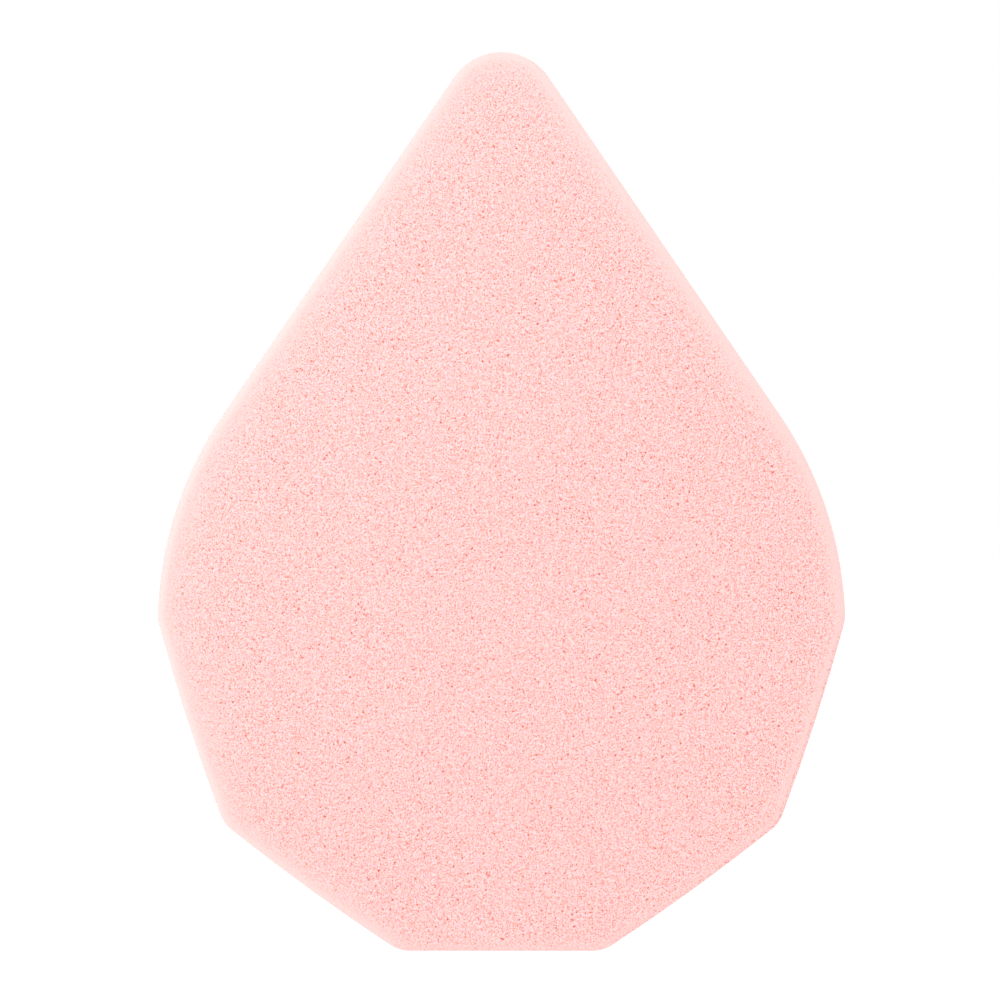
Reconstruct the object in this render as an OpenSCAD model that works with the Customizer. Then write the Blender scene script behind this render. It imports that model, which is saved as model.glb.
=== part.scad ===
// Makeup sponge: one solid block of fine open-cell foam, cut as a thick flat drop.
// It stands on its flat foot with the tip up (+Z). Its two broad faces look along -Y (front)
// and +Y (back). The outline is a chain of arcs, each tangent to the next, so every stretch of
// it is known by a centre, a radius and the turn of its outward normal from straight up.

/* [Drop] */
// Height from the foot to the top of the tip
drop_h = 66; // [54:0.5:90]
// Width across the shoulders, where the drop is widest
drop_w = 50.6; // [40:0.2:62]
// Thickness from the front face to the back face
drop_t = 22; // [12:0.5:36]

/* [Tip and shoulders] */
// Radius of the rounded tip, seen from the front
tip_r = 4.2; // [2.6:0.1:8]
// Radius of each shoulder's round, seen from the front
shoulder_r = 27.9; // [22:0.1:34]
// How far the widest place lies below the middle of the facets
shoulder_sag = 0.5; // [0:0.1:1.5]

/* [Facets of the foot end] */
// How many such facets a full turn would hold
facet_turn_count = 10; // [9:1:12]
// How deep each facet is cut in from the half width, at its middle
facet_cut = 1.1; // [0.8:0.05:2]
// Radius of the slight outward bow of the four facets beside the foot
facet_bow_r = 160; // [90:10:400]
// Radius of the soft corner between two facets, and between a facet and a shoulder
corner_r = 2.6; // [2.2:0.1:4]

/* [Rim] */
// Radius of the rounded rim between a broad face and the side wall
rim_r = 0.7; // [0.4:0.1:2]

/* [Hidden] */

// Turn of the outward normal between two points on a round, and the fewest steps in one arc
turn_step = 6;
fewest_steps = 3;
// Steps round each rim
rim_steps = 6;

// Normals are turned clockwise from straight up: 90 points right, 180 points down
facet_turn = 360 / facet_turn_count;
side_normal = 180 - 2 * facet_turn;
lower_normal = 180 - facet_turn;
foot_normal = 180;

// Places in the plane of the drop, as [across, up] from the middle of the foot
facet_reach = drop_w / 2 - facet_cut;
facet_middle = [0, facet_reach];
tip_centre = [0, drop_h - tip_r];
shoulder_centre = [drop_w / 2 - shoulder_r, facet_reach - shoulder_sag];
side_bow_centre = facet_middle - (facet_bow_r - facet_reach) * away(side_normal);
lower_bow_centre = facet_middle - (facet_bow_r - facet_reach) * away(lower_normal);

// The straight flank touches both the tip's circle and the shoulder's
flank_normal = tangent_normal(tip_centre, tip_r, shoulder_centre, shoulder_r);

// Soft corners lie inside both of the curves that they join
shoulder_corner = corner_centre(shoulder_centre, shoulder_r, side_bow_centre, facet_bow_r);
facet_corner = corner_centre(side_bow_centre, facet_bow_r, lower_bow_centre, facet_bow_r);
foot_corner = foot_corner_centre(lower_bow_centre, facet_bow_r);

// Right half of the outline from the tip to the foot: [centre, radius, first normal, last normal]
right_arcs = [
    [tip_centre, tip_r, 0, flank_normal],
    [shoulder_centre, shoulder_r, flank_normal, normal_of(shoulder_corner - shoulder_centre)],
    [shoulder_corner, corner_r, normal_of(shoulder_corner - shoulder_centre),
        normal_of(shoulder_corner - side_bow_centre)],
    [side_bow_centre, facet_bow_r, normal_of(shoulder_corner - side_bow_centre),
        normal_of(facet_corner - side_bow_centre)],
    [facet_corner, corner_r, normal_of(facet_corner - side_bow_centre),
        normal_of(facet_corner - lower_bow_centre)],
    [lower_bow_centre, facet_bow_r, normal_of(facet_corner - lower_bow_centre),
        normal_of(foot_corner - lower_bow_centre)],
    [foot_corner, corner_r, normal_of(foot_corner - lower_bow_centre), foot_normal]
];

// Unit vector along a normal, and the normal along a vector
function away(normal) = [sin(normal), cos(normal)];
function normal_of(v) = atan2(v.x, v.y);

// Normal of the line that touches two circles on their right side, the first one above the other
function tangent_normal(c1, r1, c2, r2) =
    normal_of(c1 - c2) + acos((r2 - r1) / norm(c1 - c2));

// Centre of a soft corner that touches two large circles from inside, on their outer side
function corner_centre(c1, r1, c2, r2) =
    let (
        span = c2 - c1,
        gap = norm(span),
        in1 = r1 - corner_r,
        in2 = r2 - corner_r,
        along = (in1 * in1 - in2 * in2 + gap * gap) / (2 * gap),
        beside = sqrt(in1 * in1 - along * along),
        unit = span / gap
    )
    c1 + along * unit + beside * [unit.y, -unit.x];

// Centre of a soft corner that touches a large circle from inside and rests on the foot's plane
function foot_corner_centre(c, r) =
    [c.x + sqrt((r - corner_r) * (r - corner_r) - (c.y - corner_r) * (c.y - corner_r)), corner_r];

// Points of one arc drawn in by an inset, without the first point where the last arc ended on it
function arc_points(arc, inset, from_step) =
    let (steps = max(fewest_steps, ceil((arc[3] - arc[2]) / turn_step)))
    [for (i = [from_step:steps])
        arc[0] + (arc[1] - inset) * away(arc[2] + (arc[3] - arc[2]) * i / steps)];

// The tip and the shoulder each start with a point of their own, because a flank lies between
function right_side(inset) =
    [for (k = [0:len(right_arcs) - 1]) each arc_points(right_arcs[k], inset, k < 2 ? 0 : 1)];

// Whole outline, clockwise from the top of the tip
function outline(inset) =
    let (right = right_side(inset))
    concat(right, [for (i = [len(right) - 1:-1:1]) [-right[i].x, right[i].y]]);

// A ring of the skin: the outline drawn in by an inset, at a depth from front to back
function ring(inset, depth) = [for (p = outline(inset)) [p.x, depth, p.y]];

// Rings round the front rim, from the face to the side wall, then round the back rim
skin_rings = concat(
    [for (i = [0:rim_steps])
        let (turn = 90 * i / rim_steps)
        ring(rim_r * (1 - sin(turn)), rim_r * (1 - cos(turn)) - drop_t / 2)],
    [for (i = [rim_steps:-1:0])
        let (turn = 90 * i / rim_steps)
        ring(rim_r * (1 - sin(turn)), drop_t / 2 - rim_r * (1 - cos(turn)))]
);

// Closed skin over a stack of rings with equal numbers of points
module skin(rings) {
    n = len(rings[0]);
    last = len(rings) - 1;
    front_face = [for (i = [0:n - 1]) i];
    back_face = [for (i = [n - 1:-1:0]) last * n + i];
    walls = [for (r = [0:last - 1], i = [0:n - 1])
        let (j = (i + 1) % n, here = r * n, next = (r + 1) * n)
        each [[here + i, next + i, next + j], [here + i, next + j, here + j]]];
    polyhedron(points = [for (r = rings) each r], faces = concat([front_face, back_face], walls));
}

module sponge_body() {
    color("#ffd0cb") skin(skin_rings);
}

sponge_body();
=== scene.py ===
import math

import bpy
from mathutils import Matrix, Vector


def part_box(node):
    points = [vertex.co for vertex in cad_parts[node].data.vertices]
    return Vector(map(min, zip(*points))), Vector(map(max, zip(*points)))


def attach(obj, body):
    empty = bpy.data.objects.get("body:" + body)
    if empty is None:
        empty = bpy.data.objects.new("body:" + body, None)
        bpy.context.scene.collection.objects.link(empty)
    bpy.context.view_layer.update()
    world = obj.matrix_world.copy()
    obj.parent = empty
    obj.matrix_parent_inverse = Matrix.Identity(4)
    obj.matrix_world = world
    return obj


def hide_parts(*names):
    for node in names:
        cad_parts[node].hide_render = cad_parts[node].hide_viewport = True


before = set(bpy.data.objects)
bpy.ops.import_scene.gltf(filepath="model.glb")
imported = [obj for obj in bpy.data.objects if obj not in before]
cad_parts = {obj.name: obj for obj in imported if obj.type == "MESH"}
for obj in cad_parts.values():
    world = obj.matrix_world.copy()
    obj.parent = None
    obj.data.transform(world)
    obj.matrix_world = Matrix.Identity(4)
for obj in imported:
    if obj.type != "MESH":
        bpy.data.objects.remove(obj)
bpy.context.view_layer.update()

mm = 0.001


def linearColour(hexText):
    # sRGB hex to the linear values that the shaders and lights take
    channels = [int(hexText[i:i + 2], 16) / 255 for i in (1, 3, 5)]
    return [c / 12.92 if c <= 0.04045 else ((c + 0.055) / 1.055) ** 2.4 for c in channels] + [1.0]


def addNode(tree, kind, settings=None, inputs=None):
    # settings: the node's own options. inputs: a socket's name or its place in the row, and what goes
    # in there: a value, another node's output, or another node, whose first output is then meant
    node = tree.nodes.new(kind)
    for name, value in (settings or {}).items():
        setattr(node, name, value)
    for socket, source in (inputs or {}).items():
        if isinstance(source, bpy.types.Node):
            source = source.outputs[0]
        if isinstance(source, bpy.types.NodeSocket):
            tree.links.new(source, node.inputs[socket])
        else:
            node.inputs[socket].default_value = source
    return node


# Camera: square on to the front face at half height, long lens, aimed a hair left of the middle
cameraView = {
    "lens": 150,                # mm, a long macro lens, so that the side walls stay hidden
    "sensor": 36,               # mm
    "frameWidth": 73.45 * mm,   # what the picture spans at the outline's depth
    "aimHeight": 33.11 * mm,
    "aimAcross": -0.1 * mm,
    "outlineDepth": -10.3 * mm,  # the front rim's outer edge makes the outline
    "clipStart": 1 * mm,
}


def placeCamera(v):
    distance = v["frameWidth"] * v["lens"] / v["sensor"]
    bpy.ops.object.camera_add(
        location=(v["aimAcross"], v["outlineDepth"] - distance, v["aimHeight"]),
        rotation=(math.pi / 2, 0, 0))
    camera = bpy.context.object
    camera.name = "frontCamera"
    camera.data.lens = v["lens"]
    camera.data.sensor_width = v["sensor"]
    camera.data.clip_start = v["clipStart"]
    bpy.context.scene.camera = camera


bpy.ops.object.select_all(action="DESELECT")
placeCamera(cameraView)
print("camera placed")

# The block: sizes of the drop in millimetres, as in the part's source
spongeShape = {
    "tipRadius": 4.2,
    "shoulderRadius": 27.9,
    "shoulderSag": 0.5,      # the widest place lies this far below the middle of the facets
    "facetTurn": 36,         # degrees from one facet to the next
    "facetCut": 1.1,         # how deep a facet is cut in from the half width
    "facetBow": 160,         # radius of each facet's slight outward bow
    "cornerRadius": 2.6,
    "rimRadius": 0.7,
    "rimSteps": 6,
    "rimProfile": 0.5,       # a quarter of a circle
    "arcStep": 1.5,          # degrees between two points of an arc
    "fewestSteps": 3,        # in one arc
    "weldReach": 0.001,      # points nearer than this are merged
    "faceSquareness": 0.99,  # the two broad faces look forward or back more squarely than this
    "skinStep": 0.105,       # edge length of the finished skin
    "quickSkinStep": 0.22,
}


def away(normal):
    # unit vector in the drop's plane, turned clockwise from straight up
    return Vector((math.sin(math.radians(normal)), math.cos(math.radians(normal))))


def normalOf(v):
    return math.degrees(math.atan2(v.x, v.y)) % 360


def cornerCentre(c1, r1, c2, r2, cornerRadius):
    # centre of a soft corner that touches two large circles from inside, on their outer side
    span = c2 - c1
    gap = span.length
    in1 = r1 - cornerRadius
    in2 = r2 - cornerRadius
    along = (in1 ** 2 - in2 ** 2 + gap ** 2) / (2 * gap)
    beside = math.sqrt(in1 ** 2 - along ** 2)
    unit = span / gap
    return c1 + along * unit + beside * Vector((unit.y, -unit.x))


def outlineArcs(s):
    # right half of the outline from tip to foot: centre, radius, first and last normal of each arc
    low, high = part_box("sponge_body")
    height = (high[2] - low[2]) / mm
    reach = (high[0] - low[0]) / mm / 2 - s["facetCut"]
    middle = Vector((0, reach))
    tip = Vector((0, height - s["tipRadius"]))
    shoulder = Vector((reach + s["facetCut"] - s["shoulderRadius"], reach - s["shoulderSag"]))
    bow = s["facetBow"]
    side = middle - (bow - reach) * away(180 - 2 * s["facetTurn"])
    lower = middle - (bow - reach) * away(180 - s["facetTurn"])
    small = s["cornerRadius"]
    rise = tip - shoulder
    flank = math.degrees(math.atan2(rise.x, rise.y)
                         + math.acos((s["shoulderRadius"] - s["tipRadius"]) / rise.length))
    shoulderCorner = cornerCentre(shoulder, s["shoulderRadius"], side, bow, small)
    facetCorner = cornerCentre(side, bow, lower, bow, small)
    footCorner = Vector((lower.x + math.sqrt((bow - small) ** 2 - (lower.y - small) ** 2), small))
    turns = [0, flank, normalOf(shoulderCorner - shoulder), normalOf(shoulderCorner - side),
             normalOf(facetCorner - side), normalOf(facetCorner - lower),
             normalOf(footCorner - lower), 180]
    centres = [(tip, s["tipRadius"]), (shoulder, s["shoulderRadius"]), (shoulderCorner, small),
               (side, bow), (facetCorner, small), (lower, bow), (footCorner, small)]
    return [(c, r, turns[i], turns[i + 1]) for i, (c, r) in enumerate(centres)]


def drawOutline(arcs, depth, s):
    # a single vertex at the tip is spun round each arc in turn, and drawn out along the flank
    def place(p):
        return (p.x * mm, depth, p.y * mm)

    bpy.ops.mesh.primitive_plane_add(size=mm, location=place(arcs[0][0] + arcs[0][1] * away(0)))
    bpy.ops.object.mode_set(mode="EDIT")
    bpy.ops.mesh.merge(type="CENTER")
    for k, (centre, radius, first, last) in enumerate(arcs):
        if k == 1:  # the straight flank from the tip's round to the shoulder's
            fromPlace = Vector(place(arcs[0][0] + arcs[0][1] * away(first)))
            toPlace = Vector(place(centre + radius * away(first)))
            bpy.ops.mesh.extrude_region_move(TRANSFORM_OT_translate={"value": toPlace - fromPlace})
        steps = max(s["fewestSteps"], math.ceil((last - first) / s["arcStep"]))
        bpy.ops.mesh.spin(steps=steps, angle=math.radians(last - first), center=place(centre),
                          axis=(0, -1, 0))
    # the left half mirrors the right one, and the foot closes the loop
    bpy.ops.mesh.select_all(action="SELECT")
    bpy.ops.mesh.duplicate()
    bpy.ops.transform.resize(value=(-1, 1, 1), center_override=(0, 0, 0))
    bpy.ops.mesh.select_all(action="SELECT")
    bpy.ops.mesh.remove_doubles(threshold=s["weldReach"] * mm)


def makeBlock(s):
    low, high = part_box("sponge_body")
    arcs = outlineArcs(s)
    bpy.ops.object.select_all(action="DESELECT")
    drawOutline(arcs, low[1], s)
    bpy.ops.mesh.edge_face_add()
    bpy.ops.mesh.extrude_region_move(TRANSFORM_OT_translate={"value": (0, high[1] - low[1], 0)})
    bpy.ops.mesh.select_all(action="SELECT")
    bpy.ops.mesh.normals_make_consistent(inside=False)
    block = bpy.context.object
    # round both rims
    bpy.ops.mesh.select_mode(type="FACE")
    bpy.ops.mesh.select_all(action="DESELECT")
    bpy.ops.object.mode_set(mode="OBJECT")
    for face in block.data.polygons:
        face.select = abs(face.normal.y) > s["faceSquareness"]
    bpy.ops.object.mode_set(mode="EDIT")
    bpy.ops.mesh.region_to_loop()
    bpy.ops.mesh.bevel(offset=s["rimRadius"] * mm, offset_type="OFFSET", segments=s["rimSteps"],
                       profile=s["rimProfile"], affect="EDGES")
    bpy.ops.object.mode_set(mode="OBJECT")
    bpy.ops.object.transform_apply(location=True, rotation=True, scale=True)
    block.name = "foamBlock"
    return block


block = makeBlock(spongeShape)
print("block drawn,", len(block.data.vertices), "points")

# Pores: each layer is a field of round cells cut open by the surface, sizes in millimetres.
# least and most: a cell's radius as a share of the cell size, negative where it stays shut.
# depth is cut in the mesh, and grain is only bump, for the layers that are finer than the mesh. shade: how
# much painted shade of its pores the layer puts into the colour
poreLayers = {
    "cells": {"size": 0.28, "jitter": 1.0, "least": -0.393, "most": 0.462,
              "depth": 0.13, "grain": 0.0, "shade": 0.767},
    "windows": {"size": 0.11, "jitter": 1.0, "least": 0.69, "most": 0.752,
                "depth": 0.0, "grain": 0.015, "shade": 0.592},
    "specks": {"size": 0.13, "jitter": 1.0, "least": 0.382, "most": 0.635,
               "depth": 0.0, "grain": 0.015, "shade": 0.845},
}
cellTurn = (35, 25, 50)  # degrees: the cells lie turned, so that no face of the block cuts them in rows
shutRadius = 0.001       # what is left of a cell that stays shut, as a share of its size
# Foam spreads its cells evenly, so where many cells are open, their painted shade is made a little lighter
crowding = {"reach": 0.22, "share": 0.5, "average": 0.251}  # mm round a spot, how much, usual shade there
# The rims are partly worn and partly painted highlight: pores close up towards their crests, which paints
# them paler, and less so where a rim faces lower right, away from the lamps, which leaves that side painted
# darker.
# Each of the last three goes from worn and lit to fresh and shaded by how squarely a rim faces the bearing,
# which is in degrees clockwise from straight up. run: how squarely where it is worn and lit, and where it is
# fresh and shaded
rimWearAndLight = {
    "crestSquareness": (0.84, 0.945),  # how squarely the crest of a rim faces front or back
    "wayReach": 0.8,  # mm over which a corner of the outline turns from one way to the next
    # how open the pores are on the crest
    "crestShare": {"bearing": 162, "run": (0.6, 0.95), "wornAndLit": 0.13, "freshAndShaded": 0.55},
    # mm in which the closing falls off to a third, inwards over the face and outwards over the side wall
    "innerFade": {"bearing": 143, "run": (-0.3, 0.9), "wornAndLit": 1.1, "freshAndShaded": 0.26},
    "outerFade": {"bearing": 126, "run": (0.8, 0.95), "wornAndLit": 1.8, "freshAndShaded": 0.06},
}


def poreLayer(tree, place, layer):
    # 1 at the middle of an open cell, 0 on the walls between
    turned = addNode(tree, "ShaderNodeVectorRotate", {"rotation_type": "EULER_XYZ"},
                     {"Vector": place, "Rotation": [math.radians(a) for a in cellTurn]})
    cells = addNode(tree, "ShaderNodeTexVoronoi", {"voronoi_dimensions": "3D"},
                    {"Vector": turned, "Scale": 1 / (layer["size"] * mm), "Randomness": layer["jitter"]})
    draw = addNode(tree, "ShaderNodeSeparateXYZ", None, {"Vector": cells.outputs["Color"]})
    radius = addNode(tree, "ShaderNodeMapRange", None,
                     {"Value": draw.outputs["X"], "To Min": layer["least"], "To Max": layer["most"]})
    opening = addNode(tree, "ShaderNodeMath", {"operation": "MAXIMUM"}, {0: radius, 1: shutRadius})
    return addNode(tree, "ShaderNodeMapRange", {"interpolation_type": "SMOOTHSTEP"},
                   {"Value": cells.outputs["Distance"], "From Min": opening, "From Max": 0.0})


# A map to bake the foam's look to: front and back lie side by side, and the
# side wall is unrolled above them in two rows, right half and left half
bakeSheet = {
    "side": 114,             # mm of sponge across the whole map
    "gap": 0.6,              # mm left round each part of it
    "mostSquare": 0.6,       # a surface that faces front or back more squarely than this is laid flat
    "axisHeight": 26,        # mm above the foot, where the side wall is unrolled from
    "halfOutline": 97,       # mm from the tip round one side to the middle of the foot
}


def layOutMap(tree, place, normal, sheet):
    low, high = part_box("sponge_body")
    width, thickness, height = (high[i] - low[i] for i in range(3))
    gap = sheet["gap"] * mm
    at = addNode(tree, "ShaderNodeSeparateXYZ", None, {"Vector": place})
    x, y, z = (at.outputs[axis] for axis in "XYZ")
    faced = addNode(tree, "ShaderNodeSeparateXYZ", None, {"Vector": normal})
    # all corners of one mesh face go to the same part of the sheet
    facing, across = [
        addNode(tree, "GeometryNodeFieldOnDomain", {"data_type": "FLOAT", "domain": "FACE"},
                {"Value": value}) for value in (faced.outputs["Y"], x)]
    isBack = addNode(tree, "ShaderNodeMath", {"operation": "GREATER_THAN"}, {0: facing, 1: 0})
    isLeft = addNode(tree, "ShaderNodeMath", {"operation": "LESS_THAN"}, {0: across, 1: 0})
    square = addNode(tree, "ShaderNodeMath", {"operation": "ABSOLUTE"}, {0: facing})
    isWall = addNode(tree, "ShaderNodeMath", {"operation": "LESS_THAN"}, {0: square, 1: sheet["mostSquare"]})
    # the two broad faces, the back one mirrored
    frontAcross = addNode(tree, "ShaderNodeMath", {"operation": "ADD"}, {0: x, 1: width / 2 + gap})
    backAcross = addNode(tree, "ShaderNodeMath", {"operation": "SUBTRACT"}, {0: width * 1.5 + 3 * gap, 1: x})
    flatAcross = addNode(tree, "ShaderNodeMix", None, {"Factor": isBack, "A": frontAcross, "B": backAcross})
    flatUp = addNode(tree, "ShaderNodeMath", {"operation": "ADD"}, {0: z, 1: gap})
    # the side wall, by its turn about the axis
    aside = addNode(tree, "ShaderNodeMath", {"operation": "ABSOLUTE"}, {0: x})
    above = addNode(tree, "ShaderNodeMath", {"operation": "SUBTRACT"}, {0: z, 1: sheet["axisHeight"] * mm})
    turn = addNode(tree, "ShaderNodeMath", {"operation": "ARCTAN2"}, {0: aside, 1: above})
    wallAcross = addNode(tree, "ShaderNodeMath", {"operation": "MULTIPLY_ADD"},
                         {0: turn, 1: sheet["halfOutline"] * mm / math.pi, 2: gap})
    firstRow = height + 3 * gap
    secondRow = firstRow + thickness + 2 * gap
    rightUp = addNode(tree, "ShaderNodeMath", {"operation": "ADD"}, {0: y, 1: firstRow - low[1]})
    leftUp = addNode(tree, "ShaderNodeMath", {"operation": "SUBTRACT"}, {0: secondRow + high[1], 1: y})
    wallUp = addNode(tree, "ShaderNodeMix", None, {"Factor": isLeft, "A": rightUp, "B": leftUp})
    onSheet = addNode(tree, "ShaderNodeCombineXYZ", None, {
        "X": addNode(tree, "ShaderNodeMix", None, {"Factor": isWall, "A": flatAcross, "B": wallAcross}),
        "Y": addNode(tree, "ShaderNodeMix", None, {"Factor": isWall, "A": flatUp, "B": wallUp})})
    return addNode(tree, "ShaderNodeVectorMath", {"operation": "SCALE"},
                   {"Vector": onSheet, "Scale": 1 / (sheet["side"] * mm)})


def blurSteps(reach, skinStep):
    # one step of a blur reaches sqrt(stepShare) of an edge, and the reach grows with the root of the steps
    stepShare = 0.4
    return max(1, round((reach / skinStep) ** 2 / stepShare))


def byBearing(tree, way, wearAndLight, unit):
    # one of the rims' values in its unit, by how squarely the way faces its bearing
    across, up = away(wearAndLight["bearing"])
    facing = addNode(tree, "ShaderNodeVectorMath", {"operation": "DOT_PRODUCT"},
                     {0: way, 1: (across, 0, up)})
    return addNode(tree, "ShaderNodeMapRange", None, {
        "Value": facing.outputs["Value"], "From Min": wearAndLight["run"][0], "From Max": wearAndLight["run"][1],
        "To Min": wearAndLight["wornAndLit"] * unit, "To Max": wearAndLight["freshAndShaded"] * unit})


def rimOpenness(tree, skin, normal, finishAndPaintedLight, skinStep):
    # how open the pores are: 1 on the broad faces and the side wall, less towards the crest of a rim, which
    # paints the rims paler: partly worn skin, partly painted highlight
    faced = addNode(tree, "ShaderNodeSeparateXYZ", None, {"Vector": normal})
    square = addNode(tree, "ShaderNodeMath", {"operation": "ABSOLUTE"}, {0: faced.outputs["Y"]})
    least, most = finishAndPaintedLight["crestSquareness"]
    isCrest = addNode(tree, "ShaderNodeMath", {"operation": "COMPARE"},
                      {0: square, 1: (least + most) / 2, 2: (most - least) / 2})
    crest = addNode(tree, "GeometryNodeSeparateGeometry", {"domain": "FACE"},
                    {"Geometry": skin, "Selection": isCrest})
    toCrest = addNode(tree, "GeometryNodeProximity", {"target_element": "POINTS"}, {"Geometry": crest})
    # which way the nearest stretch of rim faces, seen from the front
    flat = addNode(tree, "ShaderNodeCombineXYZ", None, {"X": faced.outputs["X"], "Z": faced.outputs["Z"]})
    outward = addNode(tree, "ShaderNodeVectorMath", {"operation": "NORMALIZE"}, {0: flat})
    nearest = addNode(tree, "GeometryNodeSampleNearest", None, {"Geometry": crest})
    nearestWay = addNode(tree, "GeometryNodeSampleIndex", {"data_type": "FLOAT_VECTOR"},
                         {"Geometry": crest, "Value": outward, "Index": nearest})
    way = addNode(tree, "GeometryNodeBlurAttribute", {"data_type": "FLOAT_VECTOR"},
                  {"Value": nearestWay, "Iterations": blurSteps(finishAndPaintedLight["wayReach"], skinStep)})
    # the closing by bearing is painted light as well as wear: rims turned towards the lamps at the left and
    # top close more and are painted paler, and rims facing lower right keep more painted pore shade
    crestShare = byBearing(tree, way, finishAndPaintedLight["crestShare"], 1)
    innerFade = byBearing(tree, way, finishAndPaintedLight["innerFade"], mm)
    outerFade = byBearing(tree, way, finishAndPaintedLight["outerFade"], mm)
    isOuter = addNode(tree, "ShaderNodeMath", {"operation": "LESS_THAN"}, {0: square, 1: least})
    fade = addNode(tree, "ShaderNodeMix", None, {"Factor": isOuter, "A": innerFade, "B": outerFade})
    fades = addNode(tree, "ShaderNodeMath", {"operation": "DIVIDE"},
                    {0: toCrest.outputs["Distance"], 1: fade})
    closing = addNode(tree, "ShaderNodeMath", {"operation": "POWER"}, {0: 1 / math.e, 1: fades})
    return addNode(tree, "ShaderNodeMix", None, {"Factor": closing, "A": 1.0, "B": crestShare})


def makePoreCutter(layers, finishAndPaintedLight, skinStep):
    tree = bpy.data.node_groups.new("poreCutter", "GeometryNodeTree")
    for side in ("INPUT", "OUTPUT"):
        tree.interface.new_socket("Geometry", in_out=side, socket_type="NodeSocketGeometry")
    skin = addNode(tree, "NodeGroupInput")
    place = addNode(tree, "GeometryNodeInputPosition")
    normal = addNode(tree, "GeometryNodeInputNormal")
    share = rimOpenness(tree, skin, normal, finishAndPaintedLight, skinStep)
    rise, shade = 0.0, 0.0  # rise: how far the skin moves out along its normal, so less than 0 in a pore
    for layer in layers.values():
        bowl = poreLayer(tree, place, layer)
        shade = addNode(tree, "ShaderNodeMath", {"operation": "MULTIPLY_ADD"},
                        {0: bowl, 1: layer["shade"], 2: shade})
        rise = addNode(tree, "ShaderNodeMath", {"operation": "MULTIPLY_ADD"},
                       {0: bowl, 1: layer["depth"] * -mm, 2: rise})
    wornRise = addNode(tree, "ShaderNodeMath", {"operation": "MULTIPLY"}, {0: rise, 1: share})
    around = addNode(tree, "GeometryNodeBlurAttribute", {"data_type": "FLOAT"},
                     {"Value": shade, "Iterations": blurSteps(crowding["reach"], skinStep)})
    # what the foam's material reads, and a map to bake its look to
    kept = skin
    for name, kind, domain, value in (("restPlace", "FLOAT_VECTOR", "POINT", place),
                                      ("openness", "FLOAT", "POINT", share),
                                      ("crowd", "FLOAT", "POINT", around),
                                      ("OFBake", "FLOAT2", "CORNER",
                                       layOutMap(tree, place, normal, bakeSheet))):
        kept = addNode(tree, "GeometryNodeStoreNamedAttribute", {"data_type": kind, "domain": domain},
                       {"Geometry": kept, "Name": name, "Value": value})
    offset = addNode(tree, "ShaderNodeVectorMath", {"operation": "SCALE"},
                     {"Vector": normal, "Scale": wornRise})
    moved = addNode(tree, "GeometryNodeSetPosition", None, {"Geometry": kept, "Offset": offset})
    addNode(tree, "NodeGroupOutput", None, {"Geometry": moved})
    return tree


def cutPores(block, s):
    bpy.ops.object.select_all(action="DESELECT")
    block.select_set(True)
    bpy.context.view_layer.objects.active = block
    skin = block.modifiers.new("skin", "REMESH")
    skin.mode = "VOXEL"
    skinStep = s["skinStep"]
    skin.voxel_size = skinStep * mm
    skin.use_smooth_shade = True
    bpy.ops.object.modifier_apply(modifier="skin")
    pores = block.modifiers.new("pores", "NODES")
    pores.node_group = makePoreCutter(poreLayers, rimWearAndLight, skinStep)
    bpy.ops.object.modifier_apply(modifier="pores")
    print("pores cut,", len(block.data.vertices), "points")


cutPores(block, spongeShape)

# Flexible polyurethane foam, foamed with fine open cells and dyed through. Matt: its cell walls
# scatter the light. The deeper pink inside the cells is painted shade, the darker and redder light down in a
# pore
foamLookAndPaintedShade = {
    "wall": "#fad8d4",         # the tops of the cell walls
    "coolWall": "#fad8da",     # and where the dye took a shade cooler
    "dyePatch": 0.3,           # mm across one shade
    "dyeSpread": (0.3, 0.7),   # the stretch of the noise that goes from one shade to the other
    "cell": "#f45d3e",         # painted shade inside the cells: the darker, redder light down in a pore
    "closed": "#fad0cc",       # the smooth skin where a rim's pores have closed up: partly worn skin, partly painted highlight on the paler rims
    "wallRoughness": 0.85,
    "cellRoughness": 1.0,
    "ior": 1.49,               # polyurethane
    "sheen": 0.12,
}


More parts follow.
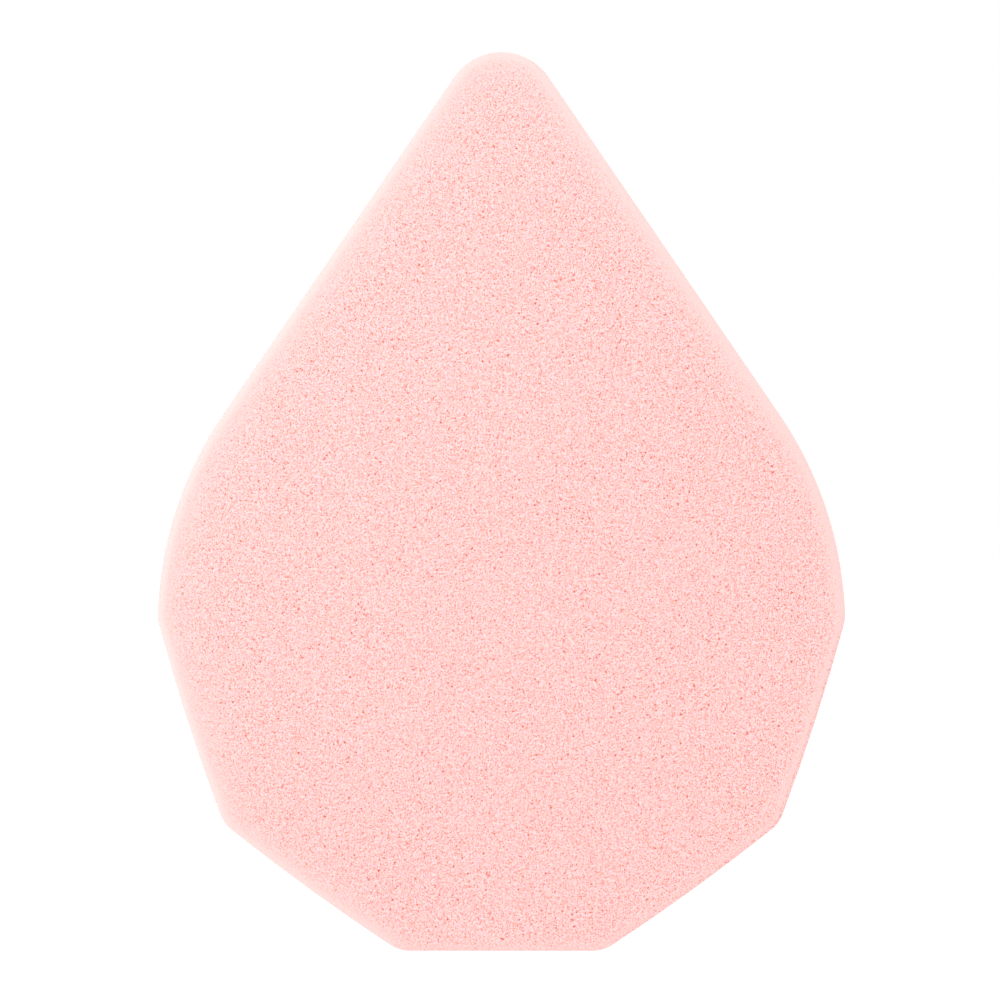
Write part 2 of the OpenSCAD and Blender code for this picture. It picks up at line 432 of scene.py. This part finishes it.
def makeFoam(finishAndPaintedLight, layers):
    foam = bpy.data.materials.new("polyurethaneFoam")
    foam.use_nodes = True
    tree = foam.node_tree
    shader = tree.nodes["Principled BSDF"]
    place = addNode(tree, "ShaderNodeAttribute", {"attribute_name": "restPlace"}).outputs["Vector"]
    share = addNode(tree, "ShaderNodeAttribute", {"attribute_name": "openness"}).outputs["Fac"]
    crowd = addNode(tree, "ShaderNodeAttribute", {"attribute_name": "crowd"}).outputs["Fac"]
    spare = addNode(tree, "ShaderNodeMath", {"operation": "SUBTRACT"}, {0: crowding["average"], 1: crowd})
    deep = addNode(tree, "ShaderNodeMath", {"operation": "MULTIPLY"}, {0: spare, 1: crowding["share"]})
    grain = 0.0
    for layer in layers.values():
        bowl = poreLayer(tree, place, layer)
        deep = addNode(tree, "ShaderNodeMath", {"operation": "MULTIPLY_ADD"},
                       {0: bowl, 1: layer["shade"], 2: deep})
        grain = addNode(tree, "ShaderNodeMath", {"operation": "MULTIPLY_ADD"},
                        {0: bowl, 1: -layer["grain"], 2: grain})
    dye = addNode(tree, "ShaderNodeTexNoise", None,
                  {"Vector": place, "Scale": 1 / (finishAndPaintedLight["dyePatch"] * mm), "Detail": 0.0})
    tint = addNode(tree, "ShaderNodeMapRange", None, {
        "Value": dye.outputs["Fac"], "From Min": finishAndPaintedLight["dyeSpread"][0], "From Max": finishAndPaintedLight["dyeSpread"][1]})
    # 6 and 7 are a mix node's two colours, and 2 is what comes out
    wall, coolWall, cell, closed = [
        linearColour(finishAndPaintedLight[name]) for name in ("wall", "coolWall", "cell", "closed")]
    walls = addNode(tree, "ShaderNodeMix", {"data_type": "RGBA"}, {"Factor": tint, 6: wall, 7: coolWall})
    # painted shade: the insides of the pores are coloured darker and redder
    pores = addNode(tree, "ShaderNodeMix", {"data_type": "RGBA"},
                    {"Factor": deep, 6: walls.outputs[2], 7: cell})
    # the rims' closed skin: partly wear, partly painted highlight where the rims are painted paler
    skin = addNode(tree, "ShaderNodeMix", {"data_type": "RGBA"},
                   {"Factor": share, 6: closed, 7: pores.outputs[2]})
    tree.links.new(skin.outputs[2], shader.inputs["Base Color"])
    roughness = addNode(tree, "ShaderNodeMapRange", None, {
        "Value": deep, "To Min": finishAndPaintedLight["wallRoughness"], "To Max": finishAndPaintedLight["cellRoughness"]})
    tree.links.new(roughness.outputs["Result"], shader.inputs["Roughness"])
    wornGrain = addNode(tree, "ShaderNodeMath", {"operation": "MULTIPLY"}, {0: grain, 1: share})
    bump = addNode(tree, "ShaderNodeBump", None, {"Height": wornGrain, "Distance": mm})
    tree.links.new(bump.outputs["Normal"], shader.inputs["Normal"])
    shader.inputs["IOR"].default_value = finishAndPaintedLight["ior"]
    shader.inputs["Sheen Weight"].default_value = finishAndPaintedLight["sheen"]
    return foam


block.data.materials.append(makeFoam(foamLookAndPaintedShade, poreLayers))
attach(block, "root")
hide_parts("sponge_body")
print("foam finished")

# Studio: a white light tent. The floor is lit from below like a glowing acrylic table
studio = {
    "white": "#ffffff",
    "floorSize": 4.0,
    "floorColour": "#5a5a5a",
    "floorRoughness": 0.8,
    "floorGlow": 1.0,
    "tentStrength": 1.0,
    "lamps": [
        # name, place, size, watts; each is aimed at the sponge's middle
        ("softboxLeft", (-0.26, -0.0116, 0.0137), 0.02, 0.14),
        ("softboxTop", (0.0475, -0.0435, 0.22), 0.02, 0.0716),
        ("softboxLow", (-0.056, -0.07, 0.0664), 0.02, 0.0094),
    ],
}


def lightStudio(s):
    bpy.ops.object.select_all(action="DESELECT")
    bpy.ops.mesh.primitive_plane_add(size=s["floorSize"], location=(0, 0, 0))
    floor = bpy.context.object
    floor.name = "studioFloor"
    acrylic = bpy.data.materials.new("glowingAcrylic")
    acrylic.use_nodes = True
    shader = acrylic.node_tree.nodes["Principled BSDF"]
    shader.inputs["Base Color"].default_value = linearColour(s["floorColour"])
    shader.inputs["Roughness"].default_value = s["floorRoughness"]
    shader.inputs["Specular IOR Level"].default_value = 0.0
    shader.inputs["Emission Color"].default_value = linearColour(s["white"])
    shader.inputs["Emission Strength"].default_value = s["floorGlow"]
    floor.data.materials.append(acrylic)
    world = bpy.data.worlds.new("lightTent")
    bpy.context.scene.world = world
    world.use_nodes = True
    sky = world.node_tree.nodes["Background"]
    sky.inputs["Color"].default_value = linearColour(s["white"])
    sky.inputs["Strength"].default_value = s["tentStrength"]
    middle = Vector((0, 0, cameraView["aimHeight"]))
    for name, place, size, watts in s["lamps"]:
        bpy.ops.object.light_add(type="AREA", location=place)
        lamp = bpy.context.object
        lamp.name = name
        lamp.data.shape = "SQUARE"
        lamp.data.size = size
        lamp.data.energy = watts
        lamp.rotation_euler = (middle - Vector(place)).to_track_quat("-Z", "Y").to_euler()
    bpy.context.scene.view_settings.view_transform = "Standard"


lightStudio(studio)
print("studio lit")
